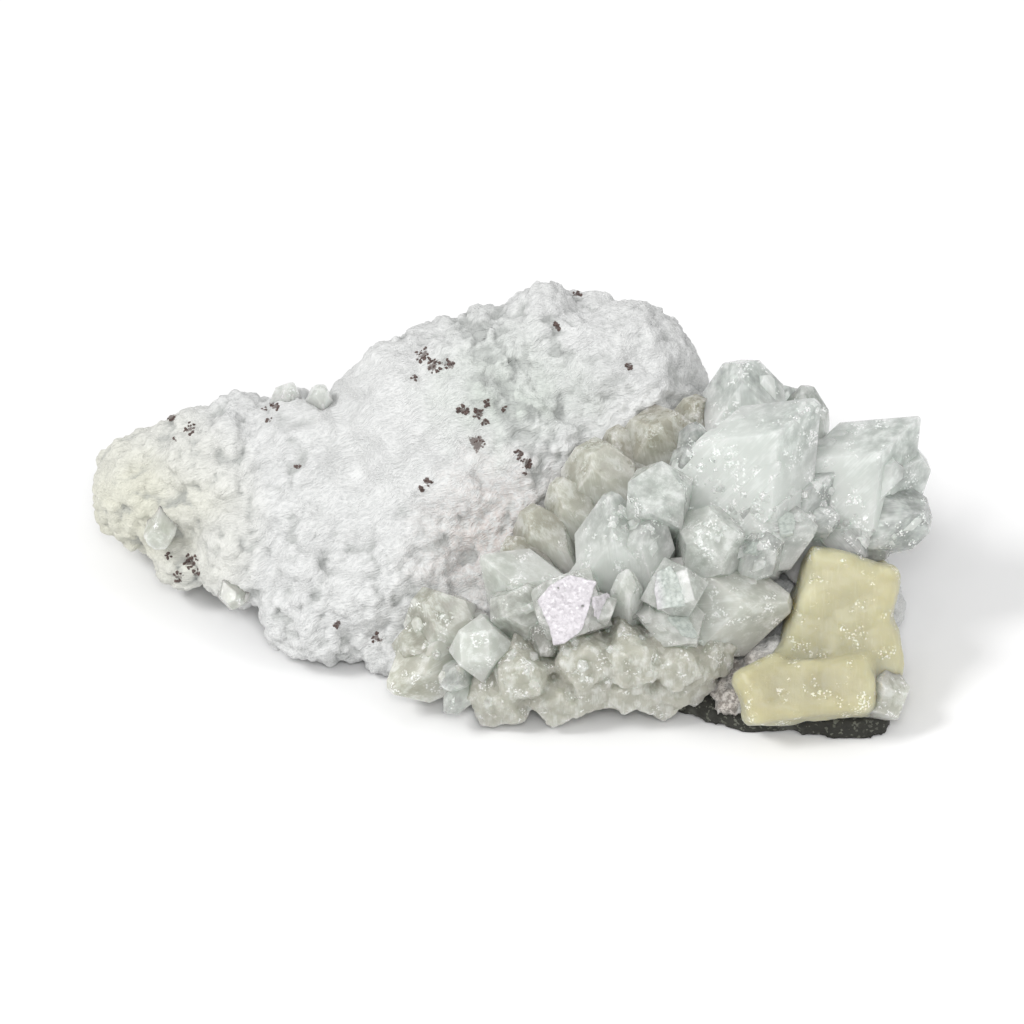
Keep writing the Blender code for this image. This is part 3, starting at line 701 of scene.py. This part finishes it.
# %% Crystals by name
PYRAMID_TILT = math.radians(60)
APOPHYLLITE = [
    ("upright", (41.4, 27.2, -12), (43.5, 4, -15), 7.4, 6.0, 4, 4.1, 4, 0.0, 0.45),
    ("upright_back", (50, 22.8, -16), (46, 6, -16), 4.4, 3.0, 0, 3.0, 2, 0.0, 0.4),
    ("leaf", (53.4, 22.8, -12), (51.5, 4, -15), 4.4, 2.2, 15, 1.6, 0, 0.2, 0.6),
    ("great", (54.6, 19.8, -1), (32, -4, -8), 9.4, 7.4, 10, 1.2, 7, 0.0, 0.35),
    ("great_step", (58.0, 7.2, -3), (40, -8, -9), 5.2, 4.6, 10, 1.0, 4, 0.0, 0.45),
    ("east", (73.2, 17.0, -6), (48, -8, -13), 9.4, 7.4, 4, 0.6, 7, 0.0, 0.4),
    ("east_side", (74.2, 9.5, -8), (50, -6, -15), 5.6, 5.0, 8, 3.0, 4, 0.0, 0.4),
    ("east_low", (74.7, -0.6, -5), (50, -3, -13), 5.8, 5.0, 8, 4.0, 4, 0.0, 0.6),
    ("east_foot", (67.5, -7.6, -5), (52, -1, -12), 3.6, 3.2, 16, 1.4, 3, 0.1, 0.6),
    ("east_leaf", (63, -8.4, -1), (54, 1, -8), 3.6, 1.6, 10, 1.2, 2, 0.1, 0.6),
    ("east_bead", (58.3, -0.8, 1), (51, -3, -8), 2.6, 2.4, 30, 0.6, 2, 0.0, 0.5),
    ("middle_back", (39.2, 12.4, 1), (38, -2, -9), 4.2, 4.2, 42, 0.6, 1, 0.1, 0.25),
    ("middle_wide", (53.5, -2.5, 3), (38, -6, -9), 6.8, 6.4, 8, 2.4, 5, 0.1, 0.35),
    ("middle_step", (46, 3, 2), (38, -6, -9), 5.0, 4.6, 18, 2.0, 5, 0.1, 0.5),
    ("dome", (36.4, -4.6, 8), (33.5, -7, -9), 6.2, 5.4, 30, 5.0, 1, 0.2, 0.3),
    ("bright_step", (46.6, -5.5, 6), (40, -10, -8), 4.8, 4.2, 20, 2.0, 3, 0.1, 0.5),
    ("prow", (25.6, 4.4, 7), (27.6, -1.5, -9), 5.2, 5.0, 30, 6.4, 0, 0.1, 0.36),
    ("twin_high", (32.6, 15.4, -2), (33.5, 4, -13), 2.9, 2.8, 20, 1.6, 1, 0.0, 0.55),
    ("twin_low", (31.3, 11.2, 0), (32.5, 2, -12), 3.1, 2.8, 40, 1.6, 1, 0.0, 0.55),
    ("tall", (17.6, 3.2, 2), (20.5, -18, -8), 7.4, 6.4, 8, 1.8, 3, 0.1, 0.4),
    ("tall_side", (26.4, 0.4, 5), (20, -14, -7), 5.4, 4.8, 14, 1.0, 4, 0.1, 0.45),
    ("west_block", (-5.4, -8.0, 1), (10, -19, -9), 6.2, 5.4, 4, 1.0, 2, 0.3, 0.25),
    ("west_block_low", (-2.5, -17, 5), (10, -20, -9), 5.6, 5.2, 24, 3.4, 3, 0.4, 0.4),
    ("mirror", (9.8, -16.6, 10), (12, -18, -9), 5.8, 5.6, 36, 8.0, 0, 0.3, 0.3),
    ("mirror_chip", (16, -17.2, 9), (16, -17, -6), 2.0, 2.6, 20, 3.0, 1, 0.3, 0.3),
    ("mirror_foot", (5.6, -25.2, 7), (8, -16, -8), 4.6, 4.2, 30, 1.0, 3, 0.5, 0.5),
    ("obelisk", (20.4, -10.2, 9), (20.4, -24, -3), 2.2, 2.0, 40, 0.4, 0, 0.3, 0.2),
    ("diamond", (28.8, -13.6, 11.5), (29, -15, -7), 4.6, 4.4, 38, 5.0, 0, 0.2, 0.35),
    ("diamond_low", (32, -22.4, 10), (25, -16, -7), 4.8, 4.4, 10, 1.6, 3, 0.3, 0.3),
    ("long_east", (49.6, -16.2, 2), (23, -18, -7), 9.0, 6.8, 4, 2.2, 2, 0.5, 0.25),
    ("pentagon", (-6.6, -23.8, 9.5), (-3, -25, -8), 4.5, 4.3, 24, 4.4, 0, 0.3, 0.15),
    ("honey_high", (-15.8, -14.8, 1), (-9, -26, -9), 6.2, 5.6, 16, 3.0, 2, 0.8, 0.45),
    ("honey_side", (-20.2, -24.5, -1), (-7, -22, -9), 5.4, 5.0, 20, 3.4, 3, 0.8, 0.35),
    ("honey_low", (-21.8, -31.4, 0), (-7, -23, -8), 6.0, 5.4, 8, 1.8, 3, 0.9, 0.25),
    ("bead", (-12.2, -31, 6), (-6, -26, -5), 2.2, 2.0, 30, 0.6, 2, 0.2, 0.5),
    ("bead_low", (-11.8, -35.4, 4), (-6, -29, -4), 2.2, 2.2, 16, 0.8, 2, 0.2, 0.5),
    ("skirt_1", (-3.4, -36.2, 2), (0, -24, -8), 6.0, 5.0, 16, 3.4, 6, 0.8, 0.35),
    ("skirt_2", (8.0, -36.0, 3), (8, -24, -8), 6.2, 5.0, 10, 2.6, 6, 0.8, 0.35),
    ("skirt_3", (15.0, -33.8, 4), (14, -22, -8), 5.2, 5.0, 36, 2.2, 6, 0.7, 0.3),
    ("skirt_4", (21.0, -33.8, 4), (20, -22, -8), 5.0, 5.0, 20, 2.2, 6, 0.7, 0.3),
    ("skirt_5", (27.2, -35.4, 1), (25, -24, -8), 5.0, 4.6, 8, 2.2, 6, 0.8, 0.3),
    ("skirt_6", (33.6, -32.4, 1), (27, -22, -8), 4.6, 4.4, 30, 2.0, 6, 0.7, 0.3),
    ("skirt_7", (37.5, -27.2, 3), (27, -20, -8), 4.6, 4.4, 12, 2.4, 5, 0.6, 0.3),
    ("lap_1", (13, -28, 9), (12, -20, -7), 5.0, 4.6, 22, 3.0, 6, 0.6, 0.35),
    ("lap_2", (21.5, -28, 9), (20, -20, -7), 5.2, 4.6, 44, 3.0, 6, 0.5, 0.35),
    ("lap_3", (1, -30.5, 8), (4, -22, -7), 4.8, 4.2, 14, 2.6, 6, 0.7, 0.4),
    ("lap_4", (30, -29, 7), (26, -20, -7), 4.8, 4.4, 34, 2.4, 6, 0.6, 0.35),
]
BORDER = [
    ("rim_top", (33, 20.6, -12), (34, 6, -19), 4.6, 3.4, 10, 2.6, 1, 0.9, 0.2),
    ("rim_east", (25.5, 17.4, -8), (29, 2, -17), 7.6, 4.6, 8, 5.4, 1, 0.8, 0.2),
    ("rim_step", (18.6, 15.0, -9), (24, 0, -17), 4.6, 4.0, 26, 2.2, 1, 0.8, 0.2),
    ("rim_middle", (14.5, 12.0, -5), (18, -4, -14), 6.8, 5.0, 14, 4.0, 1, 0.5, 0.25),
    ("rim_left", (8.0, 5.6, -5), (16, -8, -13), 4.4, 4.2, 20, 2.0, 1, 0.4, 0.2),
    ("rim_west", (3.2, 0.6, -5), (10, -14, -13), 5.0, 4.2, 24, 2.6, 1, 0.6, 0.25),
    ("rim_foot", (-0.6, -5.2, -4), (8, -16, -13), 4.4, 4.0, 12, 2.2, 1, 0.8, 0.25),
]


def stand_on(root, tip, roll):
    """How a crystal stands: its root's place, and its turn from upright."""
    axis = (tip - root).normalized()
    side = axis.cross(OUT_OF_FACE).normalized()
    back = axis.cross(side)
    stand = Matrix((side, back, axis)).transposed().to_4x4()
    return Matrix.Translation(root) @ stand @ Matrix.Rotation(math.radians(-roll), 4, "Z")


print(len(APOPHYLLITE) + len(BORDER), "crystals named")

# %% [markdown]
# One crystal starts as a tall cube. Six cuts with the bisect tool make its foot, the four sides of
# its point and its flat end, as a gem cutter would. A narrow bevel blunts the edges, so that they
# catch a line of light. The mesh then notes where it is in the crystal itself, because growth
# lines follow the crystal and not the specimen. It also notes how near it is to the root, where
# crystals are milkier.

# %% Cut a crystal
def slice_off(point, direction):
    bpy.ops.mesh.select_all(action="SELECT")
    bpy.ops.mesh.bisect(plane_co=point, plane_no=direction, use_fill=True, clear_outer=True)


def cut_prism(half_width, half_depth, length, missing, blunt):
    bpy.ops.object.select_all(action="DESELECT")
    bpy.ops.mesh.primitive_cube_add(size=2, location=(0, 0, length / 2))
    prism = bpy.context.object
    edit_all()
    bpy.ops.transform.resize(
        value=(half_width, half_depth, 1.5 * length), center_override=(0, 0, length / 2)
    )
    bpy.ops.object.mode_set(mode="OBJECT")
    bpy.ops.object.transform_apply(location=True, rotation=False, scale=False)
    edit_all()
    apex = length + missing
    steep = math.sin(PYRAMID_TILT)
    slice_off((0, 0, 0), (0, 0, -1))
    for quarter in range(4):
        corner = math.radians(45 + 90 * quarter)
        facing = (math.cos(corner) * steep, math.sin(corner) * steep, math.cos(PYRAMID_TILT))
        slice_off((0, 0, apex), facing)
    slice_off((0, 0, length), (0, 0, 1))
    bpy.ops.mesh.select_all(action="SELECT")
    bpy.ops.mesh.bevel(offset=blunt, segments=1, affect="EDGES")
    bpy.ops.object.mode_set(mode="OBJECT")
    return prism


def note_growth(crystal, warm, clear, tip=0.0, root=1.0):
    """Notes at each face corner where it is in the crystal, how near its root, and its colour."""
    corners = np.empty(len(crystal.data.loops), dtype=np.int32)
    crystal.data.loops.foreach_get("vertex_index", corners)
    shift = np.array([random.uniform(0, 0.5) for axis in range(3)], dtype=np.float32)
    growth = crystal.data.attributes.new("growth", "FLOAT_VECTOR", "CORNER")
    growth.data.foreach_set("vector", (read_points(crystal)[corners] + shift).ravel())
    height = read_points(crystal)[:, 2]
    rooted = tip + (root - tip) * (height.max() - height) / (height.max() - height.min())
    for name, values in (("warm", warm), ("clear", clear), ("rooted", rooted[corners])):
        made = crystal.data.attributes.new(name, "FLOAT", "CORNER")
        made.data.foreach_set("value", np.full(len(corners), values, dtype=np.float32))


print("crystal cutter ready")

# %% [markdown]
# Large crystals seldom grow alone. Small ones grow on their faces in the same direction, which
# gives stepped edges and terraces. Three small seeds are cut once: a sharp one, a blunt one and a
# flat blade. Their half width is 1, so a copy takes its size from one number. The copies are set
# just proud of the large crystal's faces.

# %% Seeds and terraces
random.seed(11)
SEED_LENGTH = 9
SEED_FOOT = 6
CLEAREST = 0.55
SEEDS = [
    cut_prism(1, 1, SEED_LENGTH, missing=0.15, blunt=0.07),
    cut_prism(1, 0.85, SEED_LENGTH, missing=0.8, blunt=0.07),
    cut_prism(1, 0.45, SEED_LENGTH, missing=0.3, blunt=0.06),
]


def plant(seed, stand, width, length, warm, clear):
    """Copies a seed: its tip goes where the stand is, and it reaches back by its length."""
    copy = copy_of(seed)
    points = read_points(copy)
    points[:, :2] *= width
    points[:, 2] = (points[:, 2] - SEED_LENGTH) * width
    points[:, 2] = np.where(points[:, 2] < -SEED_FOOT * width, -length, points[:, 2])
    write_points(copy, points)
    note_growth(copy, warm, clear, tip=0.3)
    copy.data.transform(stand)
    return copy


def about(clear, less, more):
    """A clearness drawn from around this one. Small crystals are never quite clear."""
    return min(CLEAREST, max(0, clear + random.uniform(-less, more)))


def terraces(stand, half_width, half_depth, length, missing, count, warm, clear):
    grown = []
    for number in range(count):
        u = half_width * random.choice((-1, 1)) * random.uniform(0.15, 0.98)
        v = half_depth * random.choice((-1, 1)) * random.uniform(0.15, 0.98)
        point = length + missing - math.tan(PYRAMID_TILT) * (abs(u) + abs(v)) / math.sqrt(2)
        top = min(point, length) + random.uniform(0.1, 0.45) * MM
        width = random.uniform(0.16, 0.42) * half_depth
        place = stand @ Matrix.Translation((u, v, top))
        reach = random.uniform(0.35, 0.8) * length
        seen_through = about(clear, 0.25, 0.2)
        grown.append(plant(random.choice(SEEDS), place, width, reach, warm, seen_through))
    return grown


print(len(SEEDS), "seeds cut")

# %% [markdown]
# Each row now becomes a crystal with its terraces. Crystals that grew through each other are one
# body, so a Boolean union can fuse them and leave no faces inside, which would show in clear
# crystal. That waits until the foot of the cluster is ready too.

# %% Grow the large crystals
EDGE = 0.13 * MM


def grow(rows):
    grown = []
    for name, tip, root, wide, deep, roll, missing, steps, warm, clear in rows:
        root = on_face(*root)
        tip = on_face(*tip)
        length = (tip - root).length
        stand = stand_on(root, tip, roll)
        crystal = cut_prism(wide * MM, deep * MM, length, missing * MM, EDGE)
        crystal.name = name
        note_growth(crystal, warm, clear)
        crystal.data.transform(stand)
        grown.append(crystal)
        grown += terraces(stand, wide * MM, deep * MM, length, missing * MM, steps, warm, clear)
    return grown


def fuse(pieces, name):
    """Grows the pieces together into one closed shape, with no faces left inside."""
    others = bpy.data.collections.new("grown")
    scene.collection.children.link(others)
    for piece in pieces[1:]:
        others.objects.link(piece)
    apply_modifier(
        pieces[0], "BOOLEAN", operation="UNION", operand_type="COLLECTION", solver="MANIFOLD",
        collection=others,
    )
    for piece in pieces[1:]:
        bpy.data.objects.remove(piece)
    bpy.data.collections.remove(others)
    return named(pieces[0], name)


foot_rows = [row for row in APOPHYLLITE if row[0].startswith(("skirt", "lap"))]
large_rows = [row for row in APOPHYLLITE if row not in foot_rows]
large = grow(large_rows)
print(len(large), "large crystals and terraces")

# %% [markdown]
# The foot of the cluster was broken off its rock, so its crystals are crumbled: they show as a
# crowd of small blocks. They grow with more of their points missing and with no terraces. The
# remesh tool fuses them, and a Voronoi texture that measures along the axes, which gives blocks
# instead of knobs, breaks their skin up in three sizes. What the crystals noted is dropped first,
# because the foot is equally cloudy all over.

# %% Crumbled foot
CRUMBLED_OFF = 3
worn_rows = [(*row[:6], row[6] + CRUMBLED_OFF, 0, *row[8:]) for row in foot_rows]
foot = join(grow(worn_rows), "foot")
for name in ("growth", "warm", "clear", "rooted"):
    foot.data.attributes.remove(foot.data.attributes[name])
apply_modifier(foot, "REMESH", mode="VOXEL", voxel_size=0.36 * MM)
ease(foot, rounds=14)
BLOCKS = {"distance_metric": "CHEBYCHEV", "noise_intensity": 1.4}
BLOCK_SIZES = [(3.0, 0.6, 0.3), (1.6, 0.42, 0.35), (0.9, 0.2, 0.4)]
for width, depth, middle in BLOCK_SIZES:
    press_texture(foot, "VORONOI", width * MM, -depth * MM, middle, **BLOCKS)
apply_modifier(foot, "DECIMATE", ratio=0.4)
note_growth(foot, warm=0.8, clear=0.05, tip=0, root=0)
cluster = fuse(large + [foot], "apophyllite")
print("one body with its crumbled foot,", triangles(cluster), "triangles")

# %% [markdown]
# In the gaps sit crowds of crystals only one or two millimetres wide. They are set where the line
# of sight meets the large crystals, and point outwards with some disorder. Each row gives a
# crowd's place and its reach across and up the face, its number of crystals and their half width,
# how warm they are and how clear.

# %% Small crystals in the gaps
GAPS = [
    (21, -3, 5.5, 2.5, 16, 1.1, 0.1, 0.6), (17, -2, 3, 2.5, 6, 1.0, 0.1, 0.6),
    (34, 9, 3, 2.5, 10, 0.9, 0.0, 0.5), (35.5, 4.0, 2.5, 2, 7, 0.9, 0.0, 0.5),
    (42, 1.5, 4, 2.5, 12, 1.1, 0.1, 0.5), (50, 1.0, 4, 3, 14, 1.1, 0.1, 0.5),
    (60, -3, 5, 3, 14, 1.2, 0.1, 0.6), (66, -6, 4, 2.5, 8, 1.1, 0.1, 0.6),
    (22, -21, 5, 3, 8, 1.1, 0.3, 0.5), (2.5, -26.5, 4, 2.5, 8, 1.0, 0.5, 0.6),
    (13, -25, 5, 3, 8, 1.1, 0.5, 0.4), (-2, -32.5, 5, 2.5, 5, 1.0, 0.7, 0.4),
    (8, -31, 6, 3, 5, 1.1, 0.7, 0.35), (18, -29.5, 7, 3, 6, 1.1, 0.6, 0.35),
    (27, -28.5, 6, 2.5, 5, 1.1, 0.6, 0.35), (-13, -27, 4, 3, 6, 1.0, 0.7, 0.5),
    (46, -5.5, 3, 2, 8, 1.0, 0.1, 0.7), (56, 5, 2, 5, 8, 1.0, 0.0, 0.6),
    (52, 16.5, 3.2, 3.5, 14, 0.8, 0.0, 0.45), (37, -3, 4.5, 2, 8, 0.8, 0.1, 0.5),
]
DISORDER = 0.35
meet_cluster = surface_under(cluster)
small = []
for across, up, wide, high, count, size, warm, clear in GAPS:
    for number in range(count):
        angle = random.uniform(0, math.tau)
        reach = math.sqrt(random.random())
        place, tilt = meet_cluster(
            across + wide * reach * math.cos(angle), up + high * reach * math.sin(angle)
        )
        if place is None:
            continue
        disorder = Vector([random.uniform(-DISORDER, DISORDER) for axis in range(3)])
        axis = (OUT_OF_FACE * 0.7 + tilt * 0.6 + disorder).normalized()
        width = size * random.uniform(0.45, 1.1) * MM
        tip = place + axis * width * random.uniform(0.1, 0.7)
        stand = stand_on(tip - axis * MM, tip, random.uniform(0, 90))
        stand = stand @ Matrix.Translation((0, 0, MM))
        seen_through = about(clear, 0.3, 0.2)
        small.append(plant(random.choice(SEEDS[:2]), stand, width, 4 * width, warm, seen_through))
cluster = fuse([cluster] + small, "apophyllite")
print(len(small), "small crystals")

# %% [markdown]
# Apophyllite is clear, but full of veils: thin clouds of tiny bubbles and cracks. One shader is
# plain glass with apophyllite's index of refraction, and another is milky. A soft noise along the
# crystal's own length chooses between them, and so does how clear the crystal is: it is milkier
# and paler towards its root. Chipped patches have small facets and white flecks painted into the
# colour: painted glints, which stand for the cracks that flash in a real crystal.

# %% Clear and milky crystal
REFRACTION = 1.535


def crystal_material(name, glass_cool, glass_warm, milk_cool, milk_warm, painted_glint_share):
    material, glass, place = new_material(name)
    growth = place.attribute("growth", 1)
    warm = place.attribute("warm")
    clear = place.attribute("clear")
    veils = growth.stretch(0.0019, 0.0019, 0.0034).noise(1, 2, 0.6)
    lines = growth.stretch(0.00022, 0.00022, 0.004).noise(1, 1, 0.6)
    chipped = growth.noise(0.0035, 2, 0.6).between(0.55, 0.63)
    tilt = (0.00003 * lines + 0.6 * growth.facets(0.0006) * chipped).bump()
    roughness = 0.06 + 0.12 * veils.between(0.4, 0.6) + 0.25 * (1 - clear).between(0.7, 0.84)
    plug(
        glass,
        Base_Color=warm.mix(glass_cool, glass_warm),
        Roughness=roughness,
        IOR=REFRACTION,
        Transmission_Weight=1.0,
        Normal=tilt,
    )
    milk = material.node_tree.nodes.new("ShaderNodeBsdfPrincipled")
    tone = warm.mix(milk_cool, milk_warm)
    deep = place.attribute("rooted").between(0.12, 0.6)
    tone = (deep * 0.45).mix(tone, (0.71, 0.735, 0.70, 1))
    tone = ((0.35 * lines + veils).between(0.6, 0.9) * 0.4).mix(tone, (0.80, 0.82, 0.80, 1))
    # Painted glints: white flecks in the chipped patches, which also make the crystal milkier
    # there.
    painted_glint = growth.lots(0.0003).between(0.72, 0.78) * chipped
    tone = (painted_glint * painted_glint_share).mix(tone, (0.93, 0.94, 0.93, 1))
    plug(
        milk,
        Base_Color=tone,
        Roughness=roughness,
        IOR=REFRACTION,
        Subsurface_Weight=1.0,
        Subsurface_Scale=LIGHT_SINKS,
        Subsurface_Radius=(0.9, 1, 0.95),
        Normal=tilt,
    )
    cloudy = (1.14 - clear) + (veils - 0.5) * 0.65 + (lines - 0.5) * 0.12 + painted_glint + 0.5 * deep
    blend_shaders(material, cloudy.between(0.0, 1.0), glass, milk)
    return material


ice = crystal_material(
    "apophyllite_ice", glass_cool=(0.92, 0.97, 0.95, 1), glass_warm=(0.95, 0.94, 0.86, 1),
    milk_cool=(0.535, 0.56, 0.535, 1), milk_warm=(0.39, 0.378, 0.308, 1), painted_glint_share=0.65,
)
finish_piece(cluster, ice, ["apophyllite_cluster"], smooth_angle=15)

# %% [markdown]
# Where a crystal has split across its length, the flat end is pearly: light glances off many
# parallel cracks just below it, and it looks hammered. Each such end is a thin flake with a ragged
# outline. Its corners are given on the face, and it is laid in the plane of the crystal under it.

# %% Pearly flakes
FLAKE_PROUD = 0.12
FLAKE_THICK = 0.9
FLAKES = [
    [(4.5, -15.8), (6.8, -13.0), (10.3, -11.2), (15.1, -12.4), (14.6, -13.7), (13.7, -17.6),
     (12.4, -21.2), (9.4, -23.4), (7.4, -23.8), (6.6, -20.6)],
    [(14.8, -15.4), (17.4, -14.6), (17.3, -17.6), (15.6, -19.4), (14.6, -18.6)],
    [(25.8, -10.8), (28.2, -9.6), (29.6, -11.4), (31.0, -16.8), (26.0, -17.4), (25.4, -14)],
    [(27.8, -18.6), (31.4, -18.8), (33.4, -22.2), (30.8, -21.8)],
    [(41.4, -5.2), (44, -5.4), (43.6, -7.4), (41.2, -7.2)],
    [(47.4, 0.2), (51.0, -0.2), (50.2, -3.8), (47.8, -4.0)],
]


def lay_flake(outline, meet):
    across, up = (sum(values) / len(outline) for values in zip(*outline))
    middle, tilt = meet(across, up)
    bpy.ops.object.select_all(action="DESELECT")
    bpy.ops.mesh.primitive_circle_add(vertices=len(outline), radius=1, fill_type="NGON")
    flake = bpy.context.object
    for vertex, corner in zip(flake.data.vertices, outline):
        sight = (on_face(*corner, 0) - camera.location).normalized()
        far = (middle - camera.location).dot(tilt) / sight.dot(tilt)
        vertex.co = camera.location + sight * far + tilt * FLAKE_PROUD * MM
    edit_all()
    bpy.ops.mesh.extrude_region_move(TRANSFORM_OT_translate={"value": -tilt * FLAKE_THICK * MM})
    bpy.ops.mesh.select_all(action="SELECT")
    bpy.ops.mesh.normals_make_consistent(inside=False)
    bpy.ops.object.mode_set(mode="OBJECT")
    apply_modifier(flake, "REMESH", mode="VOXEL", voxel_size=0.16 * MM)
    press_texture(flake, "VORONOI", 1.1 * MM, -0.17 * MM, **KNOBS)
    press_texture(flake, "CLOUDS", 0.6 * MM, 0.16 * MM, noise_depth=2)
    return flake


meet_cluster = surface_under(cluster)
flakes = join([lay_flake(outline, meet_cluster) for outline in FLAKES], "pearly_ends")
print(len(FLAKES), "flakes laid")

# %% [markdown]
# Pearl shines from inside and from its skin, so its shader is pale and has a clear coat. Flecks
# and small facets make it uneven. The first and largest end is pinkish.

# %% Pearl
pearl, shader, place = new_material("apophyllite_pearl")
flecks = place.shaken(0.0009, 0.0009).noise(0.0008, 3, 0.65)
shade = flecks.between(0.36, 0.56)
pinkish = place.near(on_face(11, -17, 9), 0.014, 0.003)
dull = pinkish.mix((0.38, 0.42, 0.39, 1), (0.53, 0.50, 0.53, 1))
bright = pinkish.mix((0.50, 0.54, 0.50, 1), (0.67, 0.64, 0.67, 1))
plug(
    shader,
    Base_Color=shade.mix(dull, bright),
    Roughness=0.3,
    Coat_Weight=0.5,
    Coat_Roughness=0.1,
    Normal=(0.00008 * flecks + 0.4 * place.facets(0.0006)).bump(),
)
finish_piece(flakes, pearl, [], smooth_angle=30)

# %% [markdown]
# A row of tan crystals stands where the cluster meets the white crust. They are grown and fused in
# the same way. Their material is the same recipe with honey colours and fewer painted glints.

# %% Border crystals
border = fuse(grow(BORDER), "stilbite_rim")
honey = crystal_material(
    "stilbite_honey", glass_cool=(0.92, 0.92, 0.85, 1), glass_warm=(0.92, 0.86, 0.72, 1),
    milk_cool=(0.46, 0.46, 0.40, 1), milk_warm=(0.33, 0.315, 0.255, 1), painted_glint_share=0.3,
)
finish_piece(border, honey, ["stilbite_border"], smooth_angle=15)

# %% [markdown]
# A few crystals sit alone, on the white felt and in the corner beside the stilbite. They are cut
# in the same way. The seeds have done their work by then, and are removed.

# %% Lone crystals
LONE = [
    ("west", (-64.2, -5.2, -15.2), (-63, 2, -26), 2.2, 2.0, 30, 3.4, 1, 0.5, 0.3),
    ("rim_left", (-40.2, 23.2, -20), (-42.5, 15, -29), 2.8, 1.9, 12, 1.0, 2, 0.2, 0.2),
    ("rim_right", (-34.8, 22.8, -19), (-36, 13, -28), 2.0, 1.6, 30, 1.2, 2, 0.2, 0.2),
    ("low", (-50.2, -16.8, -11), (-51, -8, -22), 2.5, 2.1, 20, 1.6, 2, 0.5, 0.4),
    ("corner", (67.6, -34.0, 4.4), (63, -30, -7), 4.6, 4.2, 22, 4.0, 0, 0.7, 0.2),
]
lone = fuse(grow(LONE), "lone_crystals")
lone_nodes = [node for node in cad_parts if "lone" in node]
finish_piece(lone, ice, lone_nodes, smooth_angle=15)
for seed in SEEDS:
    bpy.data.objects.remove(seed)

# %% [markdown]
# The specimen lies on white paper under soft studio light. The sky is even and pale. A large lamp
# far off at the upper left gives the knobs their shape, and a weaker one at the right lifts the
# shadows. Three small lamps around the camera give the flat crystal faces their glints: they are
# too weak to light the white crust. Few bounces of light are followed, because that is quick and
# hardly shows in milky crystals.

# %% Floor and light
bpy.ops.object.select_all(action="DESELECT")
bpy.ops.mesh.primitive_plane_add(size=6, location=(0, 0, -0.0001))
floor = bpy.context.object
floor.name = "floor"
paper, shader, place = new_material("paper")
plug(shader, Base_Color=(0.93, 0.93, 0.93, 1), Roughness=0.9, Specular_IOR_Level=0.1)
floor.data.materials.append(paper)

world = bpy.data.worlds.new("studio")
scene.world = world
world.use_nodes = True
plug(world.node_tree.nodes["Background"], Color=(1, 1, 1, 1), Strength=0.64)


def lamp(name, place, size, power):
    data = bpy.data.lights.new(name, "AREA")
    data.shape = "DISK"
    data.size = size
    data.energy = power
    light = bpy.data.objects.new(name, data)
    scene.collection.objects.link(light)
    light.location = place
    light.rotation_euler = (-Vector(place)).to_track_quat("-Z", "Y").to_euler()


lamp("key", (-1.9, -0.6, 2.3), size=0.9, power=38)
lamp("fill", (2.0, -0.9, 1.7), size=0.9, power=8)
lamp("front", camera.location + UP_THE_FACE * 0.12, size=0.22, power=2.2)
for side, up in ((-0.3, 0.2), (0.34, 0.1)):
    place = camera.location + Vector((side, 0, 0)) + UP_THE_FACE * up
    lamp("glint", place, size=0.05, power=0.3)
scene.view_settings.view_transform = "Standard"
scene.cycles.max_bounces = 6
scene.cycles.transmission_bounces = 6
scene.cycles.diffuse_bounces = 2
scene.cycles.glossy_bounces = 2
print(len(bpy.data.lights), "lamps")
